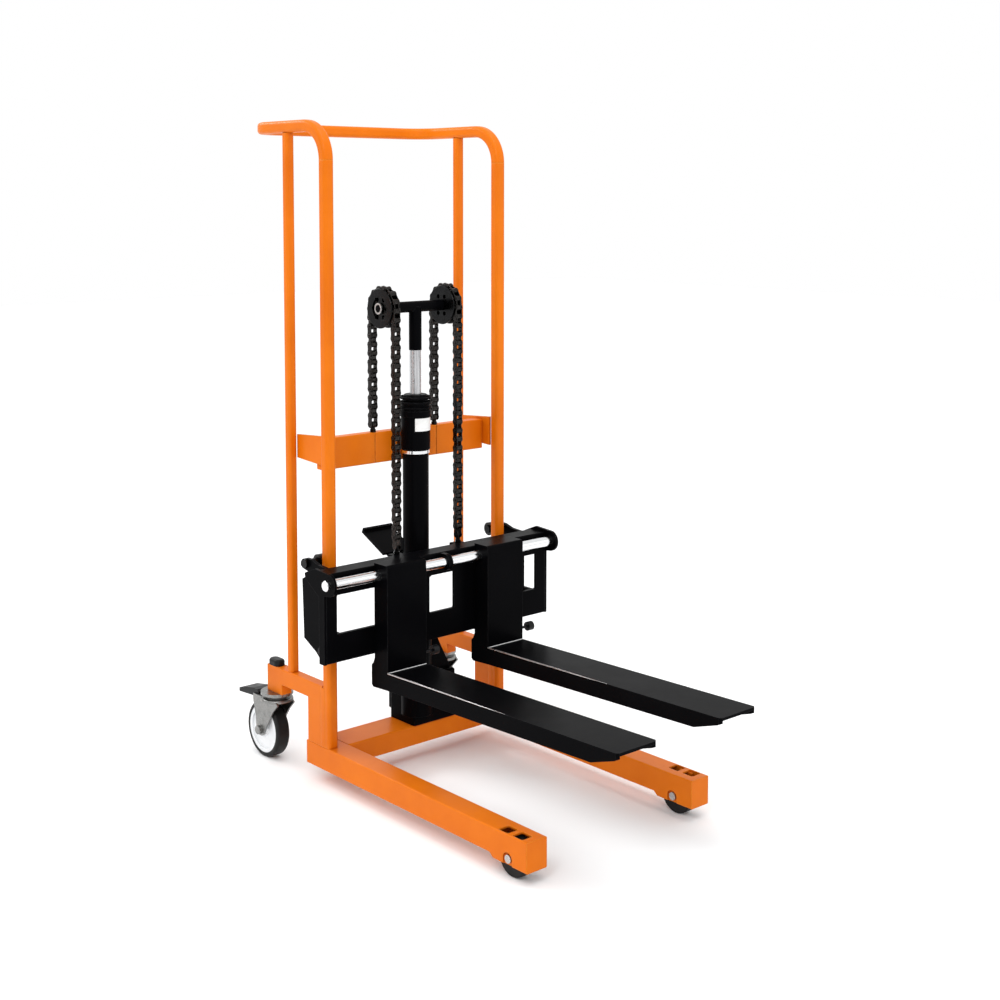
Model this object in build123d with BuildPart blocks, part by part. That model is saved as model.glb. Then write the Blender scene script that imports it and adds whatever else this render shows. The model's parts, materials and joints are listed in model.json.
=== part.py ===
from build123d import *

import math
import os

# Foot-pumped fork stacker. X runs across it, +Y towards the operator, -Y along the forks, Z up.
# The origin is on the floor, in the middle of the overall length and width. All sizes in mm.
# Heights are laid out from a datum just under the floor; save() sets every piece down by floor_z.

# Overall layout
floor_z = 8.0
post_y = 223.5
post_x = 234.0
length_half = 561.5
handle_z = 1394.0
lift_heel_z = 271.0

# Square tube of the front posts and handle
post_w = 25.4
post_r = 8.0
post_wall = 2.5
bend_r = 72.0
rear_bend_r = 60.0
back_bar_y = post_y + 274.0

# Rear posts
rear_post_w = 20.0
rear_post_r = 6.0
rear_post_y = post_y + 138.0

# Legs
leg_x = 222.0
leg_w = 50.0
leg_top = 92.0
leg_bottom = 42.0
leg_wall = 4.0
leg_rear = post_y + 70.0
leg_front = post_y - 624.0
toe_rear = post_y - 524.0
toe_bottom = 34.0
roller_y = post_y - 572.0
roller_r = 37.5
roller_z = roller_r + floor_z
roller_w = 27.0
load_axle_r = 8.0

# Caster arms and casters
arm_bottom = 186.0
arm_top = 222.0
stem_y = post_y + 203.0
socket_front = post_y + 165.0
socket_rear = post_y + 221.0
socket_bottom = 164.0
stem_r = 8.0
column_rear = post_y + 66.0
swivel_r = 36.0
wheel_r = 62.5
wheel_z = wheel_r + floor_z
wheel_w = 32.0
trail = 35.5
caster_y = stem_y + trail
cheek_in = 19.0
cheek_t = 4.0
hub_r = 52.5
brake_pivot_y = stem_y + 53.0
brake_pivot_z = 140.0
shoe_r = wheel_r + 4.1

# Hydraulic unit
cyl_y = post_y + 4.0
barrel_r = 28.5
collar_r = 32.0
bore_r = 22.0
barrel_foot = 165.0
collar_foot = 700.0
barrel_top = 773.0
gland_top = 821.0
ram_r = 12.5
ram_foot = 345.0
sheave_z = 1011.0
run_fit = 0.05

# Chains and sheaves
chain_x = 85.0
chain_pitch_r = 41.0
chain_h = 15.0
chain_w = 17.0
link_pitch = 19.05
drum_r = 33.2
flange_r = 42.5
sheave_w = 24.0
spindle_r = 8.0
anchor_r = 5.0
anchor_foot = 701.0
rear_strand_foot = 758.0
front_strand_foot = 506.0

# Crossbar
bar_front = post_y + 37.5
bar_depth = 24.0
bar_z0 = 674.0
bar_z1 = 741.0
side_plate_in = 220.0

# Carriage
plate_y = post_y - 86.0
plate_t = 8.0
plate_z0 = 302.0
plate_z1 = 488.0
plate_half = 302.0
end_plate_t = 6.0
flange_depth = 44.0
window_z0 = 361.0
window_z1 = 442.0
rod_r = 11.0
rod_y = post_y - 101.0
rod_z = 470.0
rod_half = 317.0
nose_r = 23.0
side_x = 272.0
guide_r = 15.0
guide_w = 14.0
guide_x = 238.0
upper_guide_z = 486.0
lower_guide_z = 312.0
guide_off = post_w / 2 + guide_r + 0.3
stud_r = 6.0

# Forks
fork_w = 102.0
fork_left_x = -131.0
fork_right_x = 142.0
shank_front = post_y - 131.0
shank_rear = plate_y - 0.5
shank_top = 494.0
shank_skin = 8.0
blade_tilt = math.radians(1.4)
blade_t = 37.0
blade_skin = 6.0
foot_groove_w = 1.0
foot_groove_depth = 0.6
tip_y = -length_half
screw_y = shank_front + 20.0
screw_z = 289.0
screw_r = 3.0

# Foot pump
pump_mid_x = 35.5
pump_mid_y = post_y + 26.0
pump_len = 119.0
pump_depth = 88.0
pump_top = 200.0
pump_bolt_r = 4.0
pump_bolt_places = ((-10.0, post_y), (-10.0, post_y + 52.0), (80.0, post_y), (80.0, post_y + 52.0))
valve_y = post_y + 20.0
valve_z = 140.0
pump_y = post_y + 73.0
pedal_pivot_y = post_y + 46.0
pedal_pivot_z = 441.0
pedal_rise = math.radians(26.0)


def bar(x, y, z, mode=Mode.ADD):
    """Adds a box between low and high limits to the open part."""
    with Locations(((x[0] + x[1]) / 2, (y[0] + y[1]) / 2, (z[0] + z[1]) / 2)):
        Box(x[1] - x[0], y[1] - y[0], z[1] - z[0], mode=mode)


def round_x(y, z, radius, x, mode=Mode.ADD):
    """Adds a cylinder along X between two x limits."""
    with Locations(Location(((x[0] + x[1]) / 2, y, z), (0, 90, 0))):
        Cylinder(radius, abs(x[1] - x[0]), mode=mode)


def round_z(x, y, radius, z, mode=Mode.ADD):
    """Adds a cylinder along Z between two z limits."""
    with Locations((x, y, (z[0] + z[1]) / 2)):
        Cylinder(radius, z[1] - z[0], mode=mode)


def profile_x(points, x, mode=Mode.ADD):
    """Extrudes a (y, z) outline between two x limits."""
    with BuildSketch(Plane.YZ.offset(min(x))) as outline:
        with BuildLine():
            Polyline(*points, close=True)
        make_face()
    extrude(outline.sketch, amount=abs(x[1] - x[0]), mode=mode)


def tube_section(width, radius, wall):
    """Draws a square tube's section."""
    RectangleRounded(width, width, radius)
    RectangleRounded(width - 2 * wall, width - 2 * wall, radius - wall, mode=Mode.SUBTRACT)


def span(side, a, b):
    """Gives the x limits a to b, measured outwards on the stated side."""
    return (min(side * a, side * b), max(side * a, side * b))


def along(distance, lift):
    """Gives (y, z) at a distance along the foot pedal's line and above it."""
    y = pedal_pivot_y + distance * math.cos(pedal_rise) - lift * math.sin(pedal_rise)
    z = pedal_pivot_z + distance * math.sin(pedal_rise) + lift * math.cos(pedal_rise)
    return (y, z)


def blade_top(y):
    """Gives the height of a fork blade's top at y."""
    return lift_heel_z + (shank_front - y) * math.tan(blade_tilt)


def save(part, name):
    """Sets a finished piece down on the floor, labels it and writes it out under its node name."""
    placed = part.moved(Location((0, 0, -floor_z)))
    placed.label = name
    export_step(placed, f"parts/{name}.step")


os.makedirs("parts", exist_ok=True)
sides = (("left", -1), ("right", 1))
bend_z = handle_z - bend_r

# ---------------------------------------------------------------- frame
for name, side in sides:
    # Front post: square tube from the leg's top to the start of the handle's bend.
    with BuildPart() as post:
        with BuildSketch(Plane.XY.offset(leg_top)):
            with Locations((side * post_x, post_y)):
                tube_section(post_w, post_r, post_wall)
        extrude(amount=bend_z - leg_top)
    save(post.part, f"post_front_{name}")

    # Rear post: thinner square tube between the caster arm and the handle.
    with BuildPart() as rear_post:
        with BuildSketch(Plane.XY.offset(arm_top)):
            with Locations((side * post_x, rear_post_y)):
                tube_section(rear_post_w, rear_post_r, 2.0)
        extrude(amount=handle_z - post_w / 2 - arm_top)
    save(rear_post.part, f"post_rear_{name}")

    # Caster arm: tube rearwards from the post to the socket block that takes the caster's stem.
    with BuildPart() as arm:
        arm_x = span(side, post_x - post_w / 2, post_x + post_w / 2)
        bar(arm_x, (post_y + post_w / 2, socket_front + 1.0), (arm_bottom, arm_top))
        arm_edges = arm.edges().filter_by(Axis.Y)
        fillet(arm_edges, 3.0)
        bar(arm_x, (socket_front, socket_rear), (socket_bottom, arm_top))
        # Column under the arm, behind the post, standing on the leg.
        with BuildSketch(Plane.XY.offset(leg_top)):
            with Locations((side * post_x, (post_y + post_w / 2 + column_rear) / 2)):
                RectangleRounded(post_w, column_rear - post_y - post_w / 2, 2.5)
        extrude(amount=arm_bottom + 2.0 - leg_top)
        round_z(side * post_x, stem_y, stem_r + run_fit, (socket_bottom - 1, arm_top + 1), Mode.SUBTRACT)
    save(arm.part, f"caster_arm_{name}")

    # Leg: square tube with a deeper toe that houses the load roller.
    with BuildPart() as leg:
        outer = span(side, leg_x - leg_w / 2, leg_x + leg_w / 2)
        inner = span(side, leg_x - leg_w / 2 + leg_wall, leg_x + leg_w / 2 - leg_wall)
        profile_x(
            (
                (leg_rear, leg_bottom),
                (leg_rear, leg_top),
                (leg_front, leg_top),
                (leg_front, toe_bottom),
                (toe_rear - 10.0, toe_bottom),
                (toe_rear, leg_bottom),
            ),
            outer,
        )
        long_edges = leg.edges().filter_by(Axis.Y)
        fillet(long_edges, 2.5)
        # The tube's hollow stops at a web behind the roller.
        web_y = toe_rear + 6.0
        bar(inner, (web_y, leg_rear - leg_wall), (leg_bottom + leg_wall, leg_top - leg_wall), Mode.SUBTRACT)
        # Roller pocket, open downwards.
        pocket_y = (leg_front + 5.0, toe_rear - 2.0)
        bar(inner, pocket_y, (toe_bottom - 1.0, leg_top - leg_wall), Mode.SUBTRACT)
        # Inner bearing plates that carry the roller's axle.
        for edge in (-1, 1):
            plate_in = leg_x + edge * (roller_w / 2 + 1.0)
            plate_out = leg_x + edge * (leg_w / 2 - leg_wall + 0.5)
            bar(span(side, plate_in, plate_out), (roller_y - 16.0, roller_y + 16.0), (toe_bottom, leg_top - leg_wall))
        round_x(roller_y, roller_z, load_axle_r + run_fit, outer, Mode.SUBTRACT)
        # The outer and inner cheeks are notched round the axle's ends.
        for edge in (-1, 1):
            notch_in = leg_x + edge * (leg_w / 2 - leg_wall)
            notch_out = leg_x + edge * (leg_w / 2 + 1.0)
            notch = span(side, notch_in, notch_out)
            round_x(roller_y, roller_z, 12.5, notch, Mode.SUBTRACT)
            bar(notch, (roller_y - 12.5, roller_y + 12.5), (toe_bottom - 1.0, roller_z), Mode.SUBTRACT)
        # Two openings in the toe's top.
        for slot_y, slot_len in ((post_y - 556.0, 26.0), (post_y - 594.0, 28.0)):
            with BuildSketch(Plane.XY.offset(leg_top + 1.0)):
                with Locations((side * (leg_x + 8.0), slot_y)):
                    RectangleRounded(26.0, slot_len, 4.0)
            extrude(amount=-leg_wall - 1.5, mode=Mode.SUBTRACT)
    save(leg.part, f"leg_{name}")

    # Load roller on its plain axle.
    with BuildPart() as roller:
        with Locations(Location((side * leg_x, roller_y, roller_z), (0, 90, 0))):
            Cylinder(roller_r, roller_w)
        fillet(roller.edges(), 3.0)
        round_x(roller_y, roller_z, load_axle_r + run_fit, outer, Mode.SUBTRACT)
    save(roller.part, f"load_roller_{name}")

with BuildPart() as load_axles:
    for side in (-1, 1):
        axle_x = span(side, leg_x - leg_w / 2 + 0.5, leg_x + leg_w / 2 - 0.5)
        round_x(roller_y, roller_z, load_axle_r, axle_x)
save(load_axles.part, "load_axles")

# Side plates between the posts, deeper at the front than at the rear.
with BuildPart() as side_plates:
    for side in (-1, 1):
        profile_x(
            (
                (post_y + post_w / 2, 684.0),
                (rear_post_y - rear_post_w / 2, 691.0),
                (rear_post_y - rear_post_w / 2, bar_z1),
                (post_y + post_w / 2, bar_z1 + 8.0),
            ),
            span(side, side_plate_in, side_plate_in + 5.0),
        )
save(side_plates.part, "side_plates")

# Handle: one bent tube from post to post, with two long side runs and the operator's bar at the rear.
with BuildPart() as handle:
    with BuildLine() as handle_path:
        c = math.cos(math.radians(45.0))
        side_y = post_y + bend_r
        corner_x = post_x - rear_bend_r
        corner_y = back_bar_y - rear_bend_r
        ThreePointArc(
            (-post_x, post_y, bend_z),
            (-post_x, side_y - bend_r * c, bend_z + bend_r * c),
            (-post_x, side_y, handle_z),
        )
        Line((-post_x, side_y, handle_z), (-post_x, corner_y, handle_z))
        ThreePointArc(
            (-post_x, corner_y, handle_z),
            (-corner_x - rear_bend_r * c, corner_y + rear_bend_r * c, handle_z),
            (-corner_x, back_bar_y, handle_z),
        )
        Line((-corner_x, back_bar_y, handle_z), (corner_x, back_bar_y, handle_z))
        ThreePointArc(
            (corner_x, back_bar_y, handle_z),
            (corner_x + rear_bend_r * c, corner_y + rear_bend_r * c, handle_z),
            (post_x, corner_y, handle_z),
        )
        Line((post_x, corner_y, handle_z), (post_x, side_y, handle_z))
        ThreePointArc(
            (post_x, side_y, handle_z),
            (post_x, side_y - bend_r * c, bend_z + bend_r * c),
            (post_x, post_y, bend_z),
        )
    with BuildSketch(Plane((-post_x, post_y, bend_z), x_dir=(1, 0, 0), z_dir=(0, 0, 1))):
        tube_section(post_w, post_r, post_wall)
    sweep()
save(handle.part, "handle_loop")

# Crossbar between the side plates; grooves on its face mark the webs behind the chain anchors.
with BuildPart() as crossbar:
    bar((-side_plate_in, side_plate_in), (bar_front, bar_front + bar_depth), (bar_z0, bar_z1))
    fillet(crossbar.edges().filter_by(Axis.X), 2.5)
    for x in (-chain_x, chain_x):
        bar((x - 1.5, x + 1.5), (bar_front - 1.0, bar_front + 1.2), (bar_z0 - 1.0, bar_z1 + 1.0), Mode.SUBTRACT)
        round_z(x, cyl_y + chain_pitch_r, anchor_r + run_fit, (anchor_foot - 1.0, bar_z1 + 1.0), Mode.SUBTRACT)
save(crossbar.part, "crossbar")

# Base cross member: folded channel between the legs, open underneath, with the pump on top.
cross_y = (post_y - 15.0, post_y + 68.0)
cross_half = leg_x - leg_w / 2
with BuildPart() as cross_member:
    bar((-cross_half, cross_half), cross_y, (49.0, leg_top))
    fillet(cross_member.edges().filter_by(Axis.X).group_by(Axis.Z)[-1], 4.0)
    bar((-cross_half, cross_half), (cross_y[0] + 5.0, cross_y[1] - 5.0), (48.0, leg_top - 5.0), Mode.SUBTRACT)
    for x, y in pump_bolt_places:
        round_z(x, y, pump_bolt_r + run_fit, (80.0, leg_top + 1.0), Mode.SUBTRACT)
save(cross_member.part, "cross_member")

# ---------------------------------------------------------------- hydraulic unit
# Cast pump block on the cross member, reaching out to the right and over the member's front edge.
with BuildPart() as pump_block:
    with BuildSketch(Plane.XY.offset(leg_top)):
        with Locations((pump_mid_x, pump_mid_y)):
            RectangleRounded(pump_len, pump_depth, 7.0)
    extrude(amount=pump_top - leg_top)
    chamfer(pump_block.edges().group_by(Axis.Z)[-1], 4.0)
    # Shoulder that slopes from the block's right-hand side up to the cylinder.
    with BuildSketch(Plane.XZ.offset(-pump_mid_y)) as shoulder:
        with BuildLine():
            Polyline(
                (15.0, pump_top - 20.0),
                (92.0, pump_top - 20.0),
                (92.0, pump_top),
                (87.0, 209.0),
                (54.0, 274.0),
                (33.0, 314.0),
                (15.0, 314.0),
                close=True,
            )
        make_face()
    extrude(shoulder.sketch, amount=28.0, both=True)
    round_z(0, cyl_y, barrel_r + 5.5, (leg_top + 20.0, 314.0))
    round_z(0, pump_y, 19.0, (leg_top + 18.0, 180.0))
    round_z(0, cyl_y, barrel_r + run_fit, (150.0, 320.0), Mode.SUBTRACT)
    round_z(0, pump_y, 14.0 + run_fit, (138.0, 200.0), Mode.SUBTRACT)
    for x, y in pump_bolt_places:
        round_z(x, y, pump_bolt_r + run_fit, (leg_top - 1.0, leg_top + 16.0), Mode.SUBTRACT)
    # Valve bore on the right-hand side.
    round_x(valve_y, valve_z, 5.0 + run_fit, (60.0, 100.0), Mode.SUBTRACT)
save(pump_block.part, "pump_block")

# Screws that come up through the cross member into the block.
with BuildPart() as pump_bolts:
    for x, y in pump_bolt_places:
        round_z(x, y, pump_bolt_r, (80.0, leg_top + 14.0))
        with BuildSketch(Plane.XY.offset(leg_top - 5.3)):
            with Locations((x, y)):
                RegularPolygon(7.0, 6)
        extrude(amount=-6.0)
save(pump_bolts.part, "pump_bolts")

# Cylinder barrel with its thicker upper collar.
with BuildPart() as barrel:
    round_z(0, cyl_y, barrel_r, (150.0, collar_foot + 1.0))
    round_z(0, cyl_y, collar_r, (collar_foot, barrel_top))
    collar_rims = barrel.edges().filter_by(GeomType.CIRCLE).filter_by(lambda e: e.radius > collar_r - 1.0)
    chamfer(collar_rims.group_by(Axis.Z)[0], 2.0)
    round_z(0, cyl_y, bore_r, (barrel_foot, barrel_top + 1.0), Mode.SUBTRACT)
save(barrel.part, "cylinder_barrel")

with BuildPart() as gland:
    round_z(0, cyl_y, 34.0, (barrel_top, barrel_top + 13.0))
    round_z(0, cyl_y, 32.0, (barrel_top + 12.0, barrel_top + 30.0))
    round_z(0, cyl_y, 27.0, (barrel_top + 30.0, gland_top))
    chamfer(gland.edges().filter_by(GeomType.CIRCLE).group_by(Axis.Z)[-1], 3.0)
    round_z(0, cyl_y, ram_r + run_fit, (barrel_top - 1.0, gland_top + 1.0), Mode.SUBTRACT)
save(gland.part, "gland_nut")

with BuildPart() as band:
    round_z(0, cyl_y, barrel_r + 2.0, (693.0, 699.7))
    round_z(0, cyl_y, barrel_r + run_fit, (692.0, 700.0), Mode.SUBTRACT)
save(band.part, "cylinder_band")

# Blank sticker on the front of the collar.
with BuildPart() as label:
    with BuildSketch(Plane.XY.offset(743.0)):
        with Locations((0, cyl_y)):
            Circle(collar_r + 0.7)
            Circle(collar_r + 0.1, mode=Mode.SUBTRACT)
        with Locations((0, cyl_y + 22.0)):
            Rectangle(100.0, 94.0, mode=Mode.SUBTRACT)
    extrude(amount=28.0)
save(label.part, "cylinder_label")

# Foot pump barrel with the pedal's pivot ears at its head.
with BuildPart() as pump_barrel:
    round_z(0, pump_y, 14.0, (138.0, 345.0))
    round_z(0, pump_y, 17.0, (318.0, 345.0))
    round_z(0, pump_y, 9.0 + run_fit, (150.0, 346.0), Mode.SUBTRACT)
save(pump_barrel.part, "pump_barrel")

with BuildPart() as bracket:
    round_z(0, cyl_y, barrel_r + 5.0, (420.0, 450.0))
    for x in (-24.0, 18.0):
        profile_x(
            (
                (cyl_y + 20.0, 422.0),
                (pedal_pivot_y - 1.0, 428.0),
                (pedal_pivot_y + 9.0, pedal_pivot_z - 4.0),
                (pedal_pivot_y + 9.0, pedal_pivot_z + 6.0),
                (pedal_pivot_y, pedal_pivot_z + 10.0),
                (cyl_y + 20.0, pedal_pivot_z + 9.0),
            ),
            (x, x + 6.0),
        )
    round_x(pedal_pivot_y, pedal_pivot_z, 5.0, (-26.0, 26.0))
    round_z(0, cyl_y, barrel_r + run_fit, (400.0, 470.0), Mode.SUBTRACT)
save(bracket.part, "pedal_bracket")

# Pedal: plate on a lever that rises rearwards from the pivot.
with BuildPart() as pedal:
    for x in (-17.0, 11.0):
        profile_x((along(0, -8), along(60, -8), along(60, 6), along(0, 8)), (x, x + 6.0))
        round_x(pedal_pivot_y, pedal_pivot_z, 9.0, (x, x + 6.0))
    profile_x((along(14, -7), along(38, -7), along(38, -1), along(14, -1)), (-12.0, 12.0))
    profile_x((along(30, 5), along(118, 5), along(118, 11), along(30, 11)), (-40.0, 40.0))
    profile_x((along(112, 11), along(118, 11), along(118, 17), along(112, 17)), (-40.0, 40.0))
    round_x(pedal_pivot_y, pedal_pivot_z, 5.0 + run_fit, (-30.0, 30.0), Mode.SUBTRACT)
save(pedal.part, "pump_pedal")

plunger_top = pedal_pivot_z + 27.0 * math.tan(pedal_rise) - 7.0 / math.cos(pedal_rise) - 2.0
with BuildPart() as plunger:
    round_z(0, pump_y, 9.0, (250.0, plunger_top))
    fillet(plunger.edges().group_by(Axis.Z)[-1], 8.5)
save(plunger.part, "pump_plunger")

# Lowering valve: spindle and hand lever on the pump block's right-hand side.
with BuildPart() as release:
    round_x(valve_y, valve_z, 5.0, (62.0, 108.0))
    round_x(valve_y, valve_z, 9.0, (pump_mid_x + pump_len / 2 + 0.5, 108.0))
    profile_x(
        (
            (valve_y - 6.0, valve_z - 4.0),
            (valve_y, valve_z - 8.0),
            (valve_y + 64.0, valve_z + 20.0),
            (valve_y + 62.0, valve_z + 28.0),
            (valve_y - 2.0, valve_z + 7.0),
        ),
        (100.0, 105.0),
    )
    round_x(valve_y + 64.0, valve_z + 25.0, 7.0, (97.0, 110.0))
save(release.part, "release_lever")

# ---------------------------------------------------------------- ram, crosshead, chains
with BuildPart() as ram:
    round_z(0, cyl_y, ram_r, (ram_foot + 20.0, sheave_z - 26.0))
    round_z(0, cyl_y, bore_r - run_fit, (ram_foot, ram_foot + 24.0))
    chamfer(ram.edges().group_by(Axis.Z)[0], 1.5)
save(ram.part, "ram_rod")

with BuildPart() as crosshead:
    round_x(cyl_y, sheave_z, 12.0, (-chain_x + sheave_w / 2 + 1.0, chain_x - sheave_w / 2 - 1.0))
    round_x(cyl_y, sheave_z, spindle_r, (-chain_x - sheave_w / 2 - 4.0, chain_x + sheave_w / 2 + 4.0))
    round_z(0, cyl_y, 13.8, (917.0, sheave_z))
    round_z(0, cyl_y, ram_r + run_fit, (900.0, sheave_z - 25.0), Mode.SUBTRACT)
save(crosshead.part, "crosshead")

with BuildPart() as clips:
    for side in (-1, 1):
        clip_x = span(side, chain_x + sheave_w / 2 + 0.5, chain_x + sheave_w / 2 + 3.5)
        round_x(cyl_y, sheave_z, 12.0, clip_x)
        round_x(cyl_y, sheave_z, spindle_r + run_fit, clip_x, Mode.SUBTRACT)
save(clips.part, "sheave_clips")

for name, side in sides:
    with BuildPart() as sheave:
        drum = span(side, chain_x - sheave_w / 2, chain_x + sheave_w / 2)
        round_x(cyl_y, sheave_z, drum_r, drum)
        for edge in (-1, 1):
            flange = span(side, chain_x + edge * 9.0, chain_x + edge * sheave_w / 2)
            round_x(cyl_y, sheave_z, flange_r, flange)
        chamfer(sheave.edges().filter_by(GeomType.CIRCLE).filter_by(lambda e: e.radius > 40), 0.8)
        round_x(cyl_y, sheave_z, 24.0, span(side, chain_x + 9.0, chain_x + 13.0), Mode.SUBTRACT)
        for k in range(6):
            angle = math.radians(60.0 * k)
            hole_y = cyl_y + 21.0 * math.cos(angle)
            hole_z = sheave_z + 21.0 * math.sin(angle)
            round_x(hole_y, hole_z, 5.0, span(side, chain_x - 14.0, chain_x + 14.0), Mode.SUBTRACT)
        round_x(cyl_y, sheave_z, spindle_r + run_fit, span(side, 60.0, 110.0), Mode.SUBTRACT)
    save(sheave.part, f"sheave_{name}")


def strand(x, y, z0, z1):
    """Adds a hanging chain strand: a core with a rounded bump at every link pin."""
    bar((x - chain_w / 2, x + chain_w / 2), (y - chain_h / 2 + 1.5, y + chain_h / 2 - 1.5), (z0, z1))
    count = int((z1 - z0 - chain_h) / link_pitch) + 1
    for k in range(count):
        z = z1 - chain_h / 2 - k * link_pitch
        round_x(y, z, chain_h / 2, (x - chain_w / 2 + 0.6, x + chain_w / 2 - 0.6))


rear_y = cyl_y + chain_pitch_r
front_y = cyl_y - chain_pitch_r
with BuildPart() as rear_chains:
    for x in (-chain_x, chain_x):
        strand(x, rear_y, rear_strand_foot, sheave_z - 0.2)
save(rear_chains.part, "rear_chains")

with BuildPart() as front_chains:
    for x in (-chain_x, chain_x):
        strand(x, front_y, front_strand_foot, sheave_z - 0.2)
save(front_chains.part, "front_chains")

with BuildPart() as wraps:
    for x in (-chain_x, chain_x):
        wrap_x = (x - chain_w / 2, x + chain_w / 2)
        with BuildSketch(Plane.YZ.offset(wrap_x[0])):
            with Locations((cyl_y, sheave_z)):
                Circle(chain_pitch_r + chain_h / 2)
                Circle(chain_pitch_r - chain_h / 2, mode=Mode.SUBTRACT)
            with Locations((cyl_y, sheave_z - 60.0)):
                Rectangle(140.0, 120.0, mode=Mode.SUBTRACT)
        extrude(amount=chain_w)
save(wraps.part, "chain_wraps")

# Anchor bolts of the rear strands, let into the crossbar and locked with a nut on top.
with BuildPart() as rear_anchors:
    for x in (-chain_x, chain_x):
        round_z(x, rear_y, anchor_r, (anchor_foot, rear_strand_foot - 0.3))
        with BuildSketch(Plane.XY.offset(bar_z1 + 0.3)):
            with Locations((x, rear_y)):
                RegularPolygon(7.0, 6)
        extrude(amount=6.0)
save(rear_anchors.part, "rear_anchors")

# ---------------------------------------------------------------- carriage
with BuildPart() as plate:
    bar((-plate_half, plate_half), (plate_y, plate_y + plate_t), (plate_z0, plate_z1))
    bar((-plate_half, plate_half), (plate_y, plate_y + flange_depth), (plate_z1 - plate_t, plate_z1))
    fillet(plate.edges().filter_by(Axis.X).group_by(Axis.Y)[0], 3.0)
    window_cut = (plate_y - 1.0, plate_y + plate_t + 1.0)
    window_mid_z = (window_z0 + window_z1) / 2
    for x, width in ((-198.0, 156.0), (0.0, 69.5), (198.0, 156.0)):
        with BuildSketch(Plane.XZ.offset(-plate_y - plate_t - 1.0)):
            with Locations((x, window_mid_z)):
                RectangleRounded(width, window_z1 - window_z0, 3.0)
        extrude(amount=plate_t + 2.0, mode=Mode.SUBTRACT)
    # Lugs that take the front chain anchors, behind the top flange.
    for x in (-chain_x, chain_x):
        bar((x - 14.0, x + 14.0), (plate_y + flange_depth - 1.0, front_y + 12.0), (plate_z1 - 14.0, plate_z1))
        round_z(x, front_y, 5.0 + run_fit, (400.0, 520.0), Mode.SUBTRACT)
save(plate.part, "carriage_plate")

with BuildPart() as front_anchors:
    for x in (-chain_x, chain_x):
        round_z(x, front_y, 5.0, (plate_z1 - 30.0, front_strand_foot - 0.3))
        with BuildSketch(Plane.XY.offset(plate_z1 - 23.3)):
            with Locations((x, front_y)):
                RegularPolygon(9.0, 6)
        extrude(amount=9.0)
        with BuildSketch(Plane.XY.offset(plate_z1 + 0.3)):
            with Locations((x, front_y)):
                RegularPolygon(7.0, 6)
        extrude(amount=6.0)
save(front_anchors.part, "front_anchors")

for name, side in sides:
    # Guide plate outside the post: carries the upper roller behind it and the lower one in front.
    with BuildPart() as guide_plate:
        back = plate_y + plate_t
        profile_x(
            (
                (back, 300.0),
                (post_y - 45.0, 292.0),
                (post_y - 20.0, 292.0),
                (post_y - 14.0, 297.0),
                (post_y - 4.0, 305.0),
                (post_y + 39.0, 326.0),
                (post_y + 44.0, 451.0),
                (post_y + 20.0, 463.0),
                (post_y + 18.0, 467.0),
                (post_y + 22.0, 470.0),
                (post_y + 42.0, 474.0),
                (post_y + 49.0, 479.0),
                (post_y + 49.0, 486.0),
                (post_y + 43.0, 493.0),
                (post_y + 30.0, 497.0),
                (post_y + 12.0, 497.0),
                (post_y - 12.0, 490.0),
                (plate_y + flange_depth, plate_z1),
                (plate_y + flange_depth, plate_z1 - plate_t),
                (back, plate_z1 - plate_t),
            ),
            span(side, side_x - 8.0, side_x),
        )
        # Cut away behind the carriage plate's window.
        bar(span(side, side_x - 9.0, side_x + 1.0), (back - 1.0, post_y - 50.0), (window_z0, window_z1), Mode.SUBTRACT)
        for stud_y, stud_z in ((post_y + guide_off, upper_guide_z), (post_y - guide_off, lower_guide_z)):
            round_x(stud_y, stud_z, stud_r + run_fit, span(side, side_x - 9.0, side_x + 1.0), Mode.SUBTRACT)
    save(guide_plate.part, f"guide_plate_{name}")

    # Guide rollers that run on the post's rear face above and its front face below.
    for level, stud_y, stud_z in (
        ("upper", post_y + guide_off, upper_guide_z),
        ("lower", post_y - guide_off, lower_guide_z),
    ):
        with BuildPart() as guide:
            round_x(stud_y, stud_z, guide_r, span(side, guide_x - guide_w / 2, guide_x + guide_w / 2))
            round_x(stud_y, stud_z, stud_r + run_fit, span(side, 200.0, 260.0), Mode.SUBTRACT)
        save(guide.part, f"{level}_roller_{name}")

with BuildPart() as studs:
    for side in (-1, 1):
        for stud_y, stud_z in ((post_y + guide_off, upper_guide_z), (post_y - guide_off, lower_guide_z)):
            round_x(stud_y, stud_z, stud_r, span(side, guide_x - 11.0, side_x + 6.0))
            round_x(stud_y, stud_z, 9.0, span(side, guide_x - 12.0, guide_x - 8.6))
            round_x(stud_y, stud_z, 9.0, span(side, side_x + 0.3, side_x + 6.0))
            round_x(stud_y, stud_z, 8.5, span(side, guide_x + guide_w / 2 + 0.4, side_x - 8.3))
save(studs.part, "roller_studs")

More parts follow.
